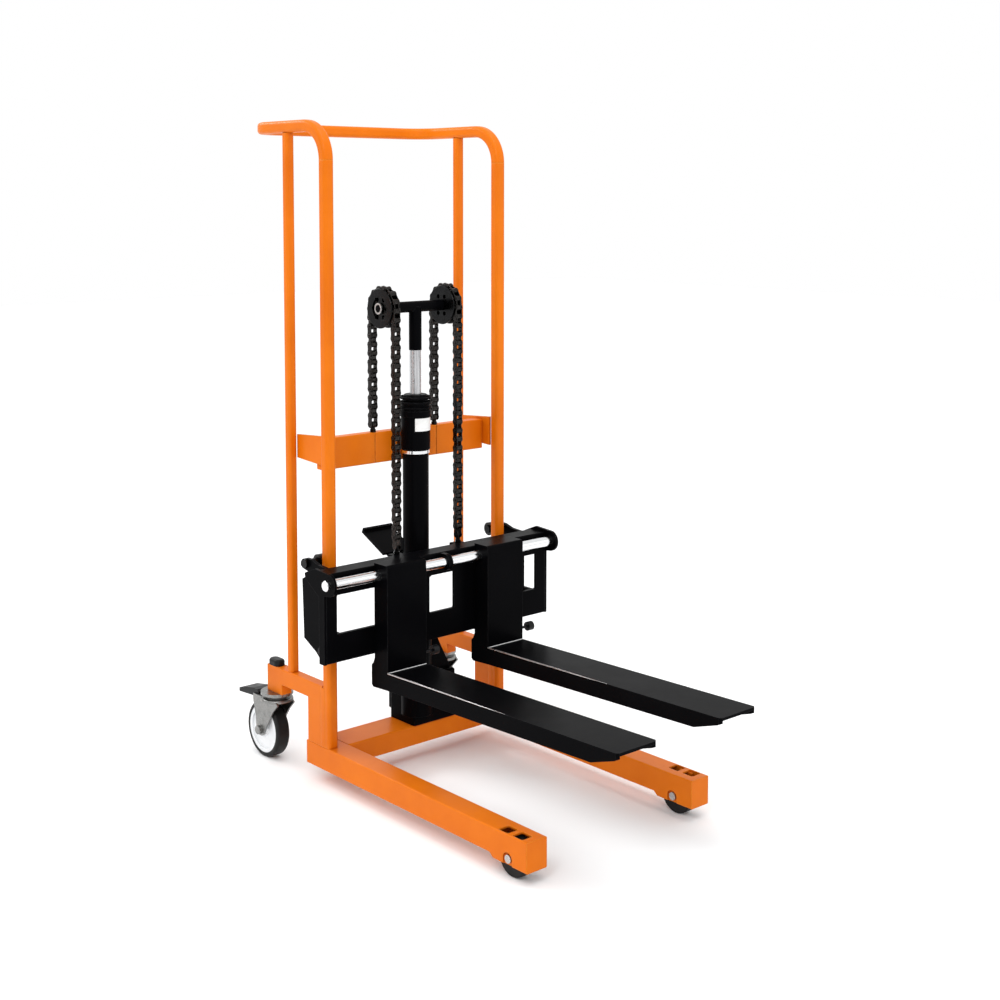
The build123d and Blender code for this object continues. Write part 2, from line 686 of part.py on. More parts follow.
# Pieces that carry the cross rod: a plate on each end of the carriage plate and a lug in the middle.
with BuildPart() as brackets:
    for side in (-1, 1):
        end_x = span(side, plate_half, plate_half + end_plate_t)
        profile_x(
            (
                (post_y - 68.0, plate_z0),
                (post_y - 68.0, 440.0),
                (post_y - 20.0, 470.0),
                (post_y - 18.0, 481.0),
                (post_y - 32.0, 487.0),
                (post_y - 54.0, 496.0),
                (rod_y, rod_z + nose_r),
                (rod_y, rod_z - nose_r),
                (plate_y, rod_z - nose_r - 2.0),
                (plate_y, plate_z0),
            ),
            end_x,
        )
        round_x(rod_y, rod_z, nose_r, end_x)
    round_x(rod_y, rod_z, 17.0, (-5.0, 5.0))
    bar((-5.0, 5.0), (rod_y, plate_y), (rod_z - 17.0, rod_z + 17.0))
    bar((-6.0, 6.0), (plate_y, rod_y + 20.0), (rod_z - 20.0, rod_z + 20.0), Mode.SUBTRACT)
    round_x(rod_y, rod_z, rod_r + run_fit, (-320.0, 320.0), Mode.SUBTRACT)
save(brackets.part, "rod_brackets")

with BuildPart() as cross_rod:
    round_x(rod_y, rod_z, rod_r, (-rod_half, rod_half))
    chamfer(cross_rod.edges().filter_by(GeomType.CIRCLE), 1.5)
save(cross_rod.part, "cross_rod")

# ---------------------------------------------------------------- forks
for name, fork_x in (("left", fork_left_x), ("right", fork_right_x)):
    x0 = fork_x - fork_w / 2
    x1 = fork_x + fork_w / 2
    with BuildPart() as fork:
        # Shank: channel open to the rear, hanging on the cross rod.
        bar((x0, x1), (shank_front, shank_rear), (plate_z0 - 10.0, shank_top))
        fillet(fork.edges().filter_by(Axis.X).group_by(Axis.Y)[0].group_by(Axis.Z)[-1], 6.0)
        # Blade with its heel under the carriage plate and a wedge-shaped tip.
        heel_rear = plate_y + 10.0
        profile_x(
            (
                (heel_rear, 236.0),
                (heel_rear, lift_heel_z + 6.0),
                (heel_rear - 6.0, lift_heel_z + 12.0),
                (shank_rear, plate_z0 - 8.0),
                (shank_front, plate_z0 - 8.0),
                (shank_front, blade_top(shank_front)),
                (tip_y, blade_top(tip_y)),
                (tip_y, blade_top(tip_y) - 11.0),
                (tip_y + 8.0, blade_top(tip_y) - 15.0),
                (tip_y + 66.0, blade_top(tip_y) - blade_t + 3.0),
                (shank_front, lift_heel_z - blade_t),
                (heel_rear - 5.0, 231.0),
            ),
            (x0, x1),
        )
        tip_edges = fork.edges().filter_by(Axis.Z).group_by(Axis.Y)[0]
        chamfer(tip_edges, 5.0)
        # Fine groove across the blade along the shank's foot.
        groove_y = (shank_front - foot_groove_w, shank_front)
        foot_z = blade_top(shank_front)
        bar((x0 - 1.0, x1 + 1.0), groove_y, (foot_z - foot_groove_depth, foot_z + 1.0), Mode.SUBTRACT)
        # Hollow behind the shank's face.
        shank_in = (shank_front + shank_skin, shank_rear + 1.0)
        bar((x0 + 8.0, x1 - 8.0), shank_in, (plate_z0 + 6.0, shank_top - 8.0), Mode.SUBTRACT)
        # Hollow under the blade.
        profile_x(
            (
                (shank_front - 2.0, blade_top(shank_front) - blade_skin),
                (tip_y - 1.0, blade_top(tip_y - 1.0) - blade_skin),
                (tip_y - 1.0, 200.0),
                (shank_front - 2.0, 200.0),
            ),
            (x0 + blade_skin, x1 - blade_skin),
            Mode.SUBTRACT,
        )
        round_x(rod_y, rod_z, rod_r + 0.08, (x0 - 1.0, x1 + 1.0), Mode.SUBTRACT)
        # Threaded hole for the locking screw.
        round_x(screw_y, screw_z, screw_r + run_fit, (x1 - 14.0, x1 + 1.0), Mode.SUBTRACT)
    save(fork.part, f"fork_{name}")

    with BuildPart() as screw:
        round_x(screw_y, screw_z, screw_r, (x1 - 12.0, x1 + 34.0))
        round_x(screw_y, screw_z, 10.0, (x1 + 31.0, x1 + 45.0))
    fillet(screw.edges().filter_by(GeomType.CIRCLE).filter_by(lambda e: e.radius > 7), 3.0)
    save(screw.part, f"lock_screw_{name}")

# ---------------------------------------------------------------- casters
with BuildPart() as caps:
    for side in (-1, 1):
        with BuildSketch(Plane.XY.offset(arm_top)):
            with Locations((side * post_x, stem_y - 1.0)):
                RectangleRounded(post_w, 40.0, 12.0)
        extrude(amount=14.0)
    fillet(caps.edges().group_by(Axis.Z)[-1], 6.0)
    for side in (-1, 1):
        round_z(side * post_x, stem_y, 11.0, (arm_top - 1.0, arm_top + 8.0), Mode.SUBTRACT)
save(caps.part, "socket_caps")

with BuildPart() as stems:
    for side in (-1, 1):
        round_z(side * post_x, stem_y, stem_r, (146.0, arm_top + 7.0))
        round_z(side * post_x, stem_y, swivel_r, (socket_bottom - 6.5, socket_bottom))
save(stems.part, "caster_stems")

for name, side in sides:
    cx = side * post_x
    with BuildPart() as yoke:
        round_z(cx, stem_y, swivel_r, (143.0, 150.0))
        fillet(yoke.edges().filter_by(GeomType.CIRCLE).group_by(Axis.Z)[-1], 5.0)
        round_z(cx, stem_y, 22.0, (149.0, 157.0))
        for edge in (-1, 1):
            cheek = span(edge, cheek_in, cheek_in + cheek_t)
            profile_x(
                (
                    (stem_y - 28.0, 147.0),
                    (stem_y - 36.0, 141.0),
                    (stem_y - 27.0, 132.0),
                    (stem_y - 17.0, 122.0),
                    (stem_y - 5.0, 105.0),
                    (caster_y - 26.0, 84.0),
                    (caster_y - 14.0, 64.0),
                    (caster_y - 7.0, 58.0),
                    (caster_y + 7.0, 58.0),
                    (caster_y + 13.0, 64.0),
                    (caster_y + 17.0, 100.0),
                    (brake_pivot_y + 9.0, 132.0),
                    (brake_pivot_y + 9.0, 147.0),
                ),
                (cx + cheek[0], cx + cheek[1]),
            )
        # Axle bolt with its head and nut, and the brake's pivot pin.
        round_x(caster_y, wheel_z, 6.0, (cx - cheek_in - 10.0, cx + cheek_in + 10.0))
        round_x(caster_y, wheel_z, 9.5, (cx - cheek_in - cheek_t - 7.0, cx - cheek_in))
        round_x(caster_y, wheel_z, 9.5, (cx + cheek_in, cx + cheek_in + cheek_t + 7.0))
        round_x(brake_pivot_y, brake_pivot_z, 3.0, (cx - cheek_in - 2.0, cx + cheek_in + 2.0))
        round_z(cx, stem_y, stem_r + run_fit, (142.0, 158.0), Mode.SUBTRACT)
    save(yoke.part, f"caster_yoke_{name}")

    half = wheel_w / 2
    with BuildPart() as tyre:
        round_x(caster_y, wheel_z, wheel_r, (cx - half, cx + half))
        fillet(tyre.edges(), 6.0)
        round_x(caster_y, wheel_z, hub_r, (cx - half, cx + half), Mode.SUBTRACT)
    save(tyre.part, f"caster_tyre_{name}")

    with BuildPart() as hub:
        round_x(caster_y, wheel_z, hub_r, (cx - half + 1.0, cx + half - 1.0))
        for edge in (-1, 1):
            dish = span(edge, half - 5.0, half + 1.0)
            dish_x = (cx + dish[0], cx + dish[1])
            round_x(caster_y, wheel_z, 44.0, dish_x, Mode.SUBTRACT)
        round_x(caster_y, wheel_z, 17.0, (cx - half - 1.0, cx + half + 1.0))
        round_x(caster_y, wheel_z, 6.0 + run_fit, (cx - 30.0, cx + 30.0), Mode.SUBTRACT)
    save(hub.part, f"caster_hub_{name}")

    # Brake pedal behind the yoke; it swings down onto the tyre.
    with BuildPart() as brake:
        profile_x(
            (
                (brake_pivot_y - 6.0, brake_pivot_z + 3.0),
                (brake_pivot_y - 6.0, brake_pivot_z + 12.0),
                (brake_pivot_y, brake_pivot_z + 16.0),
                (brake_pivot_y + 16.0, brake_pivot_z + 16.0),
                (length_half - 26.0, brake_pivot_z + 9.0),
                (length_half - 5.0, brake_pivot_z + 1.0),
                (length_half, brake_pivot_z - 4.0),
                (length_half, brake_pivot_z - 7.0),
                (length_half - 6.0, brake_pivot_z - 6.0),
                (brake_pivot_y + 10.0, brake_pivot_z - 1.0),
            ),
            (cx - cheek_in + 0.6, cx + cheek_in - 0.6),
        )
        # The plate's corners are rounded in plan.
        with BuildSketch(Plane.XY.offset(brake_pivot_z - 20.0)):
            with Locations((cx, length_half - 60.0)):
                RectangleRounded(2 * cheek_in - 1.2, 120.0, 12.0)
        extrude(amount=50.0, mode=Mode.INTERSECT)
        round_x(brake_pivot_y, brake_pivot_z, 6.5, (cx - cheek_in + 0.6, cx + cheek_in - 0.6))
        # Shoe under the plate, curved to the tyre.
        shoe = []
        for degrees in (24.0, 28.0, 32.0, 36.0):
            turn = math.radians(degrees)
            shoe.append((caster_y + shoe_r * math.sin(turn), wheel_z + shoe_r * math.cos(turn)))
        profile_x((*shoe, (shoe[-1][0], 140.0), (shoe[0][0], 142.0)), (cx - 11.0, cx + 11.0))
        round_x(brake_pivot_y, brake_pivot_z, 3.0 + run_fit, (cx - 30.0, cx + 30.0), Mode.SUBTRACT)
    save(brake.part, f"brake_pedal_{name}")
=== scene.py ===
"""Looks of a foot-pumped stacker: materials, chain links, small details, stage, light and camera."""

import json
import math

import bmesh
import bpy
from mathutils import Matrix, Vector


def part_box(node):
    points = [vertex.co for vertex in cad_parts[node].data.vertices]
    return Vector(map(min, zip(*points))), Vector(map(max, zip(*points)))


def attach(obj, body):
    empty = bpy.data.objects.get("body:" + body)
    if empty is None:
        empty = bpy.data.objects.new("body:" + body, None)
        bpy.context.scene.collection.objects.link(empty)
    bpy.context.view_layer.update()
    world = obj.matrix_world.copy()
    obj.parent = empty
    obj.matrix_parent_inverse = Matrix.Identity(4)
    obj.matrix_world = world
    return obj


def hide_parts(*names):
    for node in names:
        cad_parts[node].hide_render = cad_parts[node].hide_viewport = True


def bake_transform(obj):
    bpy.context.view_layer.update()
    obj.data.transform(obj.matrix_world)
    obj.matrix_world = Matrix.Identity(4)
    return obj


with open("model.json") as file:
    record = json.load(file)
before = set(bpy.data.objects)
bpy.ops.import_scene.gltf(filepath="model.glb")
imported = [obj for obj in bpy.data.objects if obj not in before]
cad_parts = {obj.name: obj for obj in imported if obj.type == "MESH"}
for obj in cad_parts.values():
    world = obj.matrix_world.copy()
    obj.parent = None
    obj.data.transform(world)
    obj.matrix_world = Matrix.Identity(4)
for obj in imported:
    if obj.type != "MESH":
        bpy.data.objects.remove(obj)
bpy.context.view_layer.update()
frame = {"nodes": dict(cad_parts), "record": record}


# ------------------------------------------------------------------ places, in metres
def middle(node):
    """Centre of a CAD node's box."""
    low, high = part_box(node)
    return (low + high) / 2


SIDES = (("left", -1), ("right", 1))

post_low, post_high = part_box("post_front_right")
POST_X = middle("post_front_right").x
POST_HALF = (post_high.x - post_low.x) / 2
CYL_Y = middle("cylinder_barrel").y
SHEAVE_Z = middle("sheave_clips").z
CHAIN_X = middle("sheave_right").x
CHAIN_R = middle("rear_chains").y - CYL_Y
ANCHOR_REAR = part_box("rear_chains")[0].z
ANCHOR_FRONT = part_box("front_chains")[0].z
LEG_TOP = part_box("leg_right")[1].z
ARM_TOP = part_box("caster_arm_right")[1].z

# Where a fork's blade meets its shank, and how steeply the blade rises towards its tip.
SHANK_Y = 0.0925
HEEL_Z = 0.263
BLADE_RISE = math.tan(math.radians(1.4))


# ------------------------------------------------------------------ materials
# Places of a Mix node's colour sockets: two go in and one comes out.
COLOUR_A, COLOUR_B, COLOUR_MIXED = 6, 7, 2


class Nodes:
    """A material with small helpers for its node tree."""

    def __init__(self, name):
        self.mat = bpy.data.materials.new(name)
        self.mat.use_nodes = True
        self.tree = self.mat.node_tree
        self.shader = self.tree.nodes["Principled BSDF"]

    def add(self, kind, **settings):
        """A new node with its settings."""
        node = self.tree.nodes.new(kind)
        for key, value in settings.items():
            setattr(node, key, value)
        return node

    def link(self, out, into):
        """Joins two sockets."""
        self.tree.links.new(out, into)

    def feed(self, socket, source):
        """Links a socket to another node's output, or sets it to a plain number or colour."""
        if hasattr(source, "links"):
            self.link(source, socket)
        elif isinstance(source, tuple):
            socket.default_value = (*source, 1)
        else:
            socket.default_value = source

    def set(self, **values):
        """Sets uniform values on the shader."""
        for key, value in values.items():
            self.shader.inputs[key.replace("_", " ")].default_value = value

    def coords(self, scale):
        """Places on the object, stretched along its axes."""
        where = self.add("ShaderNodeTexCoord")
        mapping = self.add("ShaderNodeMapping")
        mapping.inputs["Scale"].default_value = scale
        self.link(where.outputs["Object"], mapping.inputs["Vector"])
        return mapping.outputs["Vector"]

    def noise(self, size, detail, rough=0.55, stretch=(1, 1, 1)):
        """Soft random variation, 0 to 1, finer with a larger size."""
        node = self.add("ShaderNodeTexNoise")
        node.inputs["Scale"].default_value = size
        node.inputs["Detail"].default_value = detail
        node.inputs["Roughness"].default_value = rough
        self.link(self.coords(stretch), node.inputs["Vector"])
        return node.outputs["Fac"]

    def ramp(self, value, *stops):
        """Turns a value into a colour or a grey level, through (position, colour) stops."""
        node = self.add("ShaderNodeValToRGB")
        ramp = node.color_ramp
        while len(ramp.elements) < len(stops):
            ramp.elements.new(0.5)
        for element, (at, color) in zip(ramp.elements, stops):
            element.position = at
            if not hasattr(color, "__len__"):
                color = (color, color, color)
            element.color = (*color, 1)
        self.link(value, node.inputs["Fac"])
        return node.outputs["Color"]

    def mix(self, share, a, b):
        """Colour a with a share of colour b."""
        node = self.add("ShaderNodeMix", data_type="RGBA")
        self.feed(node.inputs["Factor"], share)
        self.feed(node.inputs[COLOUR_A], a)
        self.feed(node.inputs[COLOUR_B], b)
        return node.outputs[COLOUR_MIXED]

    def math(self, kind, a, b):
        """One sum on two values."""
        node = self.add("ShaderNodeMath", operation=kind)
        self.feed(node.inputs[0], a)
        self.feed(node.inputs[1], b)
        return node.outputs[0]

    def rounded(self, radius):
        """A normal that turns smoothly over the edges."""
        soft = self.add("ShaderNodeBevel", samples=4)
        soft.inputs["Radius"].default_value = radius
        return soft.outputs["Normal"]

    def sharpness(self, rounded):
        """How far the rounded normal leans from the real one, 0 to 1, so 1 on sharp edges."""
        flat = self.add("ShaderNodeNewGeometry")
        dot = self.add("ShaderNodeVectorMath", operation="DOT_PRODUCT")
        self.link(rounded, dot.inputs[0])
        self.link(flat.outputs["Normal"], dot.inputs[1])
        lean = self.math("SUBTRACT", 1.0, dot.outputs["Value"])
        return self.math("MINIMUM", self.math("MULTIPLY", lean, 5.0), 1.0)

    def bump(self, height, depth, strength, normal=None):
        """Fine relief on the surface."""
        node = self.add("ShaderNodeBump")
        node.inputs["Strength"].default_value = strength
        node.inputs["Distance"].default_value = depth
        self.link(height, node.inputs["Height"])
        if normal is not None:
            self.link(normal, node.inputs["Normal"])
        self.link(node.outputs["Normal"], self.shader.inputs["Normal"])

    def base(self, colour):
        """Sets the shader's colour from the tree."""
        self.link(colour, self.shader.inputs["Base Color"])

    def roughness(self, cloud, low, high):
        """Lets the shader's roughness wander between two values."""
        self.link(self.ramp(cloud, (0.3, low), (0.7, high)), self.shader.inputs["Roughness"])


def paint(name, deep, mid, light, rough, coat, spec, rounding, edge_wear_and_highlight, edge_wear_and_highlight_share, crease_shade):
    """Sprayed paint: faint mottling, orange peel, lighter sharp edges that are partly worn thin paint
    and partly painted highlight, and painted shade in the corners.
    """
    m = Nodes(name)
    m.set(Metallic=0.0, Coat_Weight=coat, Coat_Roughness=0.10, Specular_IOR_Level=spec)
    mottle = m.ramp(m.noise(size=7.0, detail=4.0), (0.3, deep), (0.55, mid), (0.8, light))
    rounded = m.rounded(rounding)
    # Sharp edges turn towards a lighter colour in random patches: partly worn thin paint, partly a
    # painted highlight.
    patches = m.ramp(m.noise(size=60.0, detail=2.0), (0.3, 0.35), (0.65, 1.0))
    edge_wear_and_highlight_mask = m.math("MULTIPLY", m.sharpness(rounded), patches)
    colour = m.mix(m.math("MULTIPLY", edge_wear_and_highlight_mask, edge_wear_and_highlight_share), mottle, edge_wear_and_highlight)
    # Painted shade: ambient occlusion darkens corners, creases and recesses towards the crease colour.
    open_air = m.add("ShaderNodeAmbientOcclusion", samples=6)
    open_air.inputs["Distance"].default_value = 0.012
    painted_corner_shade = m.ramp(open_air.outputs["AO"], (0.30, 0.75), (0.72, 0.0))
    m.base(m.mix(painted_corner_shade, colour, crease_shade))
    m.roughness(m.noise(size=18.0, detail=5.0, rough=0.6), rough * 0.92, rough * 1.12)
    m.bump(m.noise(size=420.0, detail=2.0), depth=0.0001, strength=0.25, normal=rounded)
    return m.mat


def metal(name, dark, light, rough, streaks=(1, 1, 1), stain=None, bump=0.00002):
    """Bare or plated metal with a fine grain, which streaks stretch, and with stains."""
    m = Nodes(name)
    m.set(Metallic=1.0)
    grain = m.noise(size=350.0, detail=3.0, rough=0.6, stretch=streaks)
    colour = m.ramp(grain, (0.3, dark), (0.7, light))
    if stain:
        spots = m.ramp(m.noise(size=55.0, detail=5.0, rough=0.65), (0.5, 0.0), (0.72, 1.0))
        colour = m.mix(spots, colour, stain)
    m.base(colour)
    m.roughness(m.noise(size=40.0, detail=4.0), rough * 0.75, rough * 1.4)
    m.bump(grain, bump, strength=0.5, normal=m.rounded(0.0006))
    return m.mat


def moulded(name, deep, light, rough, grain, depth, spec=0.5):
    """Rubber or plastic with a fine moulded surface."""
    m = Nodes(name)
    m.set(Metallic=0.0, Specular_IOR_Level=spec)
    m.base(m.ramp(m.noise(size=22.0, detail=5.0, rough=0.6), (0.3, deep), (0.75, light)))
    m.roughness(m.noise(size=35.0, detail=4.0), rough * 0.85, rough * 1.2)
    m.bump(m.noise(grain, detail=3.0), depth, strength=0.5, normal=m.rounded(0.0008))
    return m.mat


def sticker():
    """White vinyl, faintly mottled."""
    m = Nodes("label")
    m.set(Specular_IOR_Level=0.5)
    mottle = m.noise(size=60.0, detail=4.0)
    m.base(m.ramp(mottle, (0.3, (0.74, 0.74, 0.73)), (0.7, (0.84, 0.84, 0.83))))
    m.roughness(m.noise(size=90.0, detail=2.0), 0.22, 0.36)
    m.bump(m.noise(size=300.0, detail=2.0), depth=0.00005, strength=0.3)
    return m.mat


def pale_floor():
    """A matt, nearly white studio floor."""
    m = Nodes("floor")
    m.set(Specular_IOR_Level=0.2, Roughness=0.75)
    mottle = m.noise(size=3.0, detail=3.0)
    m.base(m.ramp(mottle, (0.3, (0.955, 0.96, 0.965)), (0.7, (0.965, 0.97, 0.975))))
    return m.mat


ORANGE = paint(
    "orange_paint",
    deep=(0.63, 0.132, 0.002),
    mid=(0.69, 0.155, 0.003),
    light=(0.75, 0.180, 0.004),
    rough=0.34,
    coat=0.03,
    spec=0.10,
    rounding=0.003,
    edge_wear_and_highlight=(0.95, 0.42, 0.06),
    edge_wear_and_highlight_share=0.45,
    crease_shade=(0.42, 0.035, 0.002),
)
BLACK = paint(
    "black_paint",
    deep=(0.0012, 0.0012, 0.0016),
    mid=(0.0017, 0.0017, 0.0022),
    light=(0.0026, 0.0026, 0.0032),
    rough=0.30,
    coat=0.0,
    spec=0.018,
    rounding=0.0012,
    edge_wear_and_highlight=(0.060, 0.060, 0.064),
    edge_wear_and_highlight_share=0.60,
    crease_shade=(0.0006, 0.0006, 0.0006),
)
CHROME = metal("chrome", (0.72, 0.73, 0.74), (0.86, 0.87, 0.88), rough=0.16, streaks=(6, 1, 1))
RAM_CHROME = metal(
    "ram_chrome", (0.34, 0.34, 0.35), (0.62, 0.62, 0.63), rough=0.24, streaks=(1, 1, 0.04)
)
ZINC = metal("zinc", (0.36, 0.36, 0.35), (0.60, 0.60, 0.59), rough=0.32, stain=(0.22, 0.22, 0.20))
CHAIN = metal(
    "chain_steel",
    (0.008, 0.008, 0.008),
    (0.050, 0.046, 0.043),
    rough=0.24,
    stain=(0.012, 0.011, 0.010),
    bump=0.00004,
)
DARK = metal(
    "dark_steel", (0.007, 0.007, 0.007), (0.022, 0.022, 0.023), rough=0.24, stain=(0.010, 0.010, 0.010)
)
YOKE = metal(
    "yoke_zinc", (0.19, 0.19, 0.185), (0.31, 0.31, 0.30), rough=0.30, stain=(0.17, 0.17, 0.165)
)
# Bright steel for the strips that paint highlights along the fork edges.
GLINT_STEEL = metal("glint_steel", (0.55, 0.55, 0.55), (0.85, 0.85, 0.85), rough=0.30)
NYLON = moulded(
    "white_nylon", (0.70, 0.72, 0.74), (0.84, 0.85, 0.86), rough=0.34, grain=260.0, depth=0.00006
)
RUBBER = moulded(
    "black_rubber",
    (0.004, 0.004, 0.004),
    (0.009, 0.009, 0.009),
    rough=0.50,
    grain=500.0,
    depth=0.00008,
    spec=0.22,
)
PLASTIC = moulded(
    "black_plastic",
    (0.003, 0.003, 0.0035),
    (0.006, 0.006, 0.007),
    rough=0.36,
    grain=650.0,
    depth=0.00006,
    spec=0.18,
)
LABEL = sticker()

# Each CAD node takes its slot's material, apart from a few with a finish of their own.
slots = {
    "orange_paint": ORANGE,
    "black_paint": BLACK,
    "chrome": CHROME,
    "zinc": ZINC,
    "chain_steel": CHAIN,
    "white_nylon": NYLON,
    "black_rubber": RUBBER,
    "black_plastic": PLASTIC,
    "label": LABEL,
}
special = {
    "ram_rod": RAM_CHROME,
    "cylinder_band": CHROME,
    "caster_yoke_left": YOKE,
    "caster_yoke_right": YOKE,
    "caster_stems": YOKE,
    "sheave_left": DARK,
    "sheave_right": DARK,
    "roller_studs": DARK,
    "rear_anchors": DARK,
    "front_anchors": DARK,
}
for part in frame["record"]["subparts"]:
    node = frame["nodes"][part["node"]]
    material = special.get(part["node"], slots[part["material_slot"]])
    node.data.materials.clear()
    node.data.materials.append(material)
    for face in node.data.polygons:
        face.material_index = 0


# ------------------------------------------------------------------ mesh helpers
def finish_piece(bm, name, material, smooth=40.0):
    """Turns a bmesh into a shaded object with its material."""
    mesh = bpy.data.meshes.new(name)
    bmesh.ops.recalc_face_normals(bm, faces=bm.faces)
    bm.to_mesh(mesh)
    bm.free()
    obj = bpy.data.objects.new(name, mesh)
    bpy.context.collection.objects.link(obj)
    mesh.materials.append(material)
    mesh.shade_smooth()
    mesh.set_sharp_from_angle(angle=math.radians(smooth))
    return obj


def circle(radius, steps):
    """Points of a circle about the origin, as pairs."""
    turns = [math.tau * k / steps for k in range(steps)]
    return [(radius * math.cos(a), radius * math.sin(a)) for a in turns]


def walls(bm, rings):
    """Quads between each ring of vertices and the next."""
    count = len(rings[0])
    for low, high in zip(rings, rings[1:]):
        for k in range(count):
            bm.faces.new((low[k], low[(k + 1) % count], high[(k + 1) % count], high[k]))


def solid(bm, rings):
    """Walls between the rings, and a lid on the first and on the last."""
    walls(bm, rings)
    bm.faces.new(rings[0])
    bm.faces.new(list(reversed(rings[-1])))


def turned(bm, y, z, profile, steps):
    """Revolves an (x, radius) profile about an axis along X."""
    rings = []
    for x, radius in profile:
        rings.append([bm.verts.new((x, y + dy, z + dz)) for dy, dz in circle(radius, steps)])
    solid(bm, rings)


def plate(bm, outline, place, x, thick, bevel):
    """A flat plate from a closed (y, z) outline, with chamfered rims, placed by a matrix."""
    centre = sum((Vector(point) for point in outline), Vector((0, 0))) / len(outline)
    rings = []
    for dx, inset in (
        (-thick / 2, bevel),
        (-thick / 2 + bevel, 0),
        (thick / 2 - bevel, 0),
        (thick / 2, bevel),
    ):
        ring = []
        for point in outline:
            spoke = Vector(point) - centre
            rim = centre + spoke - spoke.normalized() * inset
            ring.append(bm.verts.new(place @ Vector((x + dx, rim.x, rim.y))))
        rings.append(ring)
    solid(bm, rings)


def bar(bm, start, start_section, end, end_section):
    """A straight bar from one closed section to another, each drawn about its own end."""
    low = [bm.verts.new(Vector(start) + point) for point in start_section]
    high = [bm.verts.new(Vector(end) + point) for point in end_section]
    solid(bm, (low, high))


# ------------------------------------------------------------------ roller chains
PITCH_COUNT = 46
REAR_LEN = SHEAVE_Z - ANCHOR_REAR
FRONT_LEN = SHEAVE_Z - ANCHOR_FRONT
ARC_LEN = math.pi * CHAIN_R
PITCH = (REAR_LEN + ARC_LEN + FRONT_LEN) / PITCH_COUNT

PLATE_HEAD = 0.0076
PLATE_WAIST = 0.0060
PLATE_THICK = 0.0019
PLATE_BEVEL = 0.0004
OUTER_PLATE_X = 0.0074
INNER_PLATE_X = 0.0052
HEAD_WRAP = math.pi / 2 + 0.55
PIN_HALF = 0.0098
PIN_R = 0.0025
PIN_END_R = 0.0018
PIN_CHAMFER = 0.0005
ROLLER_HALF = 0.0042
ROLLER_R = 0.0066


def chain_point(s):
    """Position (y, z) at a length along the chain from the rear anchor."""
    if s <= REAR_LEN:
        return (CYL_Y + CHAIN_R, ANCHOR_REAR + s)
    if s <= REAR_LEN + ARC_LEN:
        a = (s - REAR_LEN) / CHAIN_R
        return (CYL_Y + CHAIN_R * math.cos(a), SHEAVE_Z + CHAIN_R * math.sin(a))
    return (CYL_Y - CHAIN_R, SHEAVE_Z - (s - REAR_LEN - ARC_LEN))


def link_outline(length, steps=9):
    """Figure-eight side plate, lying along Z with its pins at 0 and length."""
    points = []
    for pin_z, facing, waist in ((length, 0.0, PLATE_WAIST), (0.0, math.pi, -PLATE_WAIST)):
        for k in range(steps):
            a = facing - HEAD_WRAP + 2 * HEAD_WRAP * k / (steps - 1)
            points.append((PLATE_HEAD * math.sin(a), pin_z + PLATE_HEAD * math.cos(a)))
        points.append((waist, length / 2))
    return points


def build_link(bm, x, i):
    """One pitch of chain: a pair of side plates, a pin, and its roller."""
    y0, z0 = chain_point(i * PITCH)
    y1, z1 = chain_point((i + 1) * PITCH)
    dy, dz = y1 - y0, z1 - z0
    place = Matrix.Translation((x, y0, z0)) @ Matrix.Rotation(-math.atan2(dy, dz), 4, "X")
    outline = link_outline(math.hypot(dy, dz))
    plate_x = OUTER_PLATE_X if i % 2 == 0 else INNER_PLATE_X
    for side_x in (-plate_x, plate_x):
        plate(bm, outline, place, side_x, PLATE_THICK, PLATE_BEVEL)
    pin = (
        (x - PIN_HALF, PIN_END_R),
        (x - PIN_HALF + PIN_CHAMFER, PIN_R),
        (x + PIN_HALF - PIN_CHAMFER, PIN_R),
        (x + PIN_HALF, PIN_END_R),
    )
    turned(bm, y0, z0, pin, steps=12)
    turned(bm, y0, z0, ((x - ROLLER_HALF, ROLLER_R), (x + ROLLER_HALF, ROLLER_R)), steps=16)


def chain_piece(name, x, first, last):
    """The links of one chain from one pitch up to another."""
    bm = bmesh.new()
    for i in range(first, last):
        build_link(bm, x, i)
    return finish_piece(bm, name, CHAIN, 35.0)


rear_last = int(REAR_LEN / PITCH) + 1
wrap_last = int((REAR_LEN + ARC_LEN) / PITCH)
for side, sx in SIDES:
    x = sx * CHAIN_X
    rear = chain_piece(f"chain_rear_{side}", x, 0, rear_last)
    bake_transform(rear)
    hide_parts("rear_chains")
    wrap = chain_piece(f"chain_wrap_{side}", x, rear_last, wrap_last)
    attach(wrap, "ram")
    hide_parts("chain_wraps")
    front = chain_piece(f"chain_front_{side}", x, wrap_last, PITCH_COUNT)
    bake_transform(front)
    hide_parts("front_chains")


# ------------------------------------------------------------------ ridges on the gland nut
RIDGE_COUNT = 3
RIDGE_PITCH = 0.011
FIRST_RIDGE = 0.007
RIDGE_SECTION = ((-0.003, -0.001), (-0.0015, 0.0016), (0.0015, 0.0016), (0.003, -0.001))

gland_low, gland_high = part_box("gland_nut")
gland_r = (gland_high.x - gland_low.x) / 2
ridges = bmesh.new()
for k in range(RIDGE_COUNT):
    ridge_z = gland_high.z - FIRST_RIDGE - RIDGE_PITCH * k
    rings = []
    for dz, dr in RIDGE_SECTION:
        points = circle(gland_r + dr, steps=48)
        rings.append([ridges.verts.new((x, CYL_Y + y, ridge_z + dz)) for x, y in points])
    walls(ridges, rings + rings[:1])
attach(finish_piece(ridges, "gland_ridges", BLACK), "frame")


# ------------------------------------------------------------------ painted highlights on the forks
# Painted highlights: thin strips of bright steel lie along each fork's left edge, ever thinner towards
# the tip, and across the foot of its shank, where the edges catch the light.
GLINT_REACH = 0.36
GLINT_R = 0.0019
GLINT_END_R = 0.0006
GLINT_IN = 0.0007
GLINT_DOWN = 0.0004
FOOT_R = 0.0013
FOOT_IN = 0.001
FOOT_FORWARD = 0.0006


def wire(radius, across):
    """Round section of a thin line, in the plane of Z and one other direction."""
    return [Vector(across) * a + Vector((0, 0, b)) for a, b in circle(radius, steps=10)]


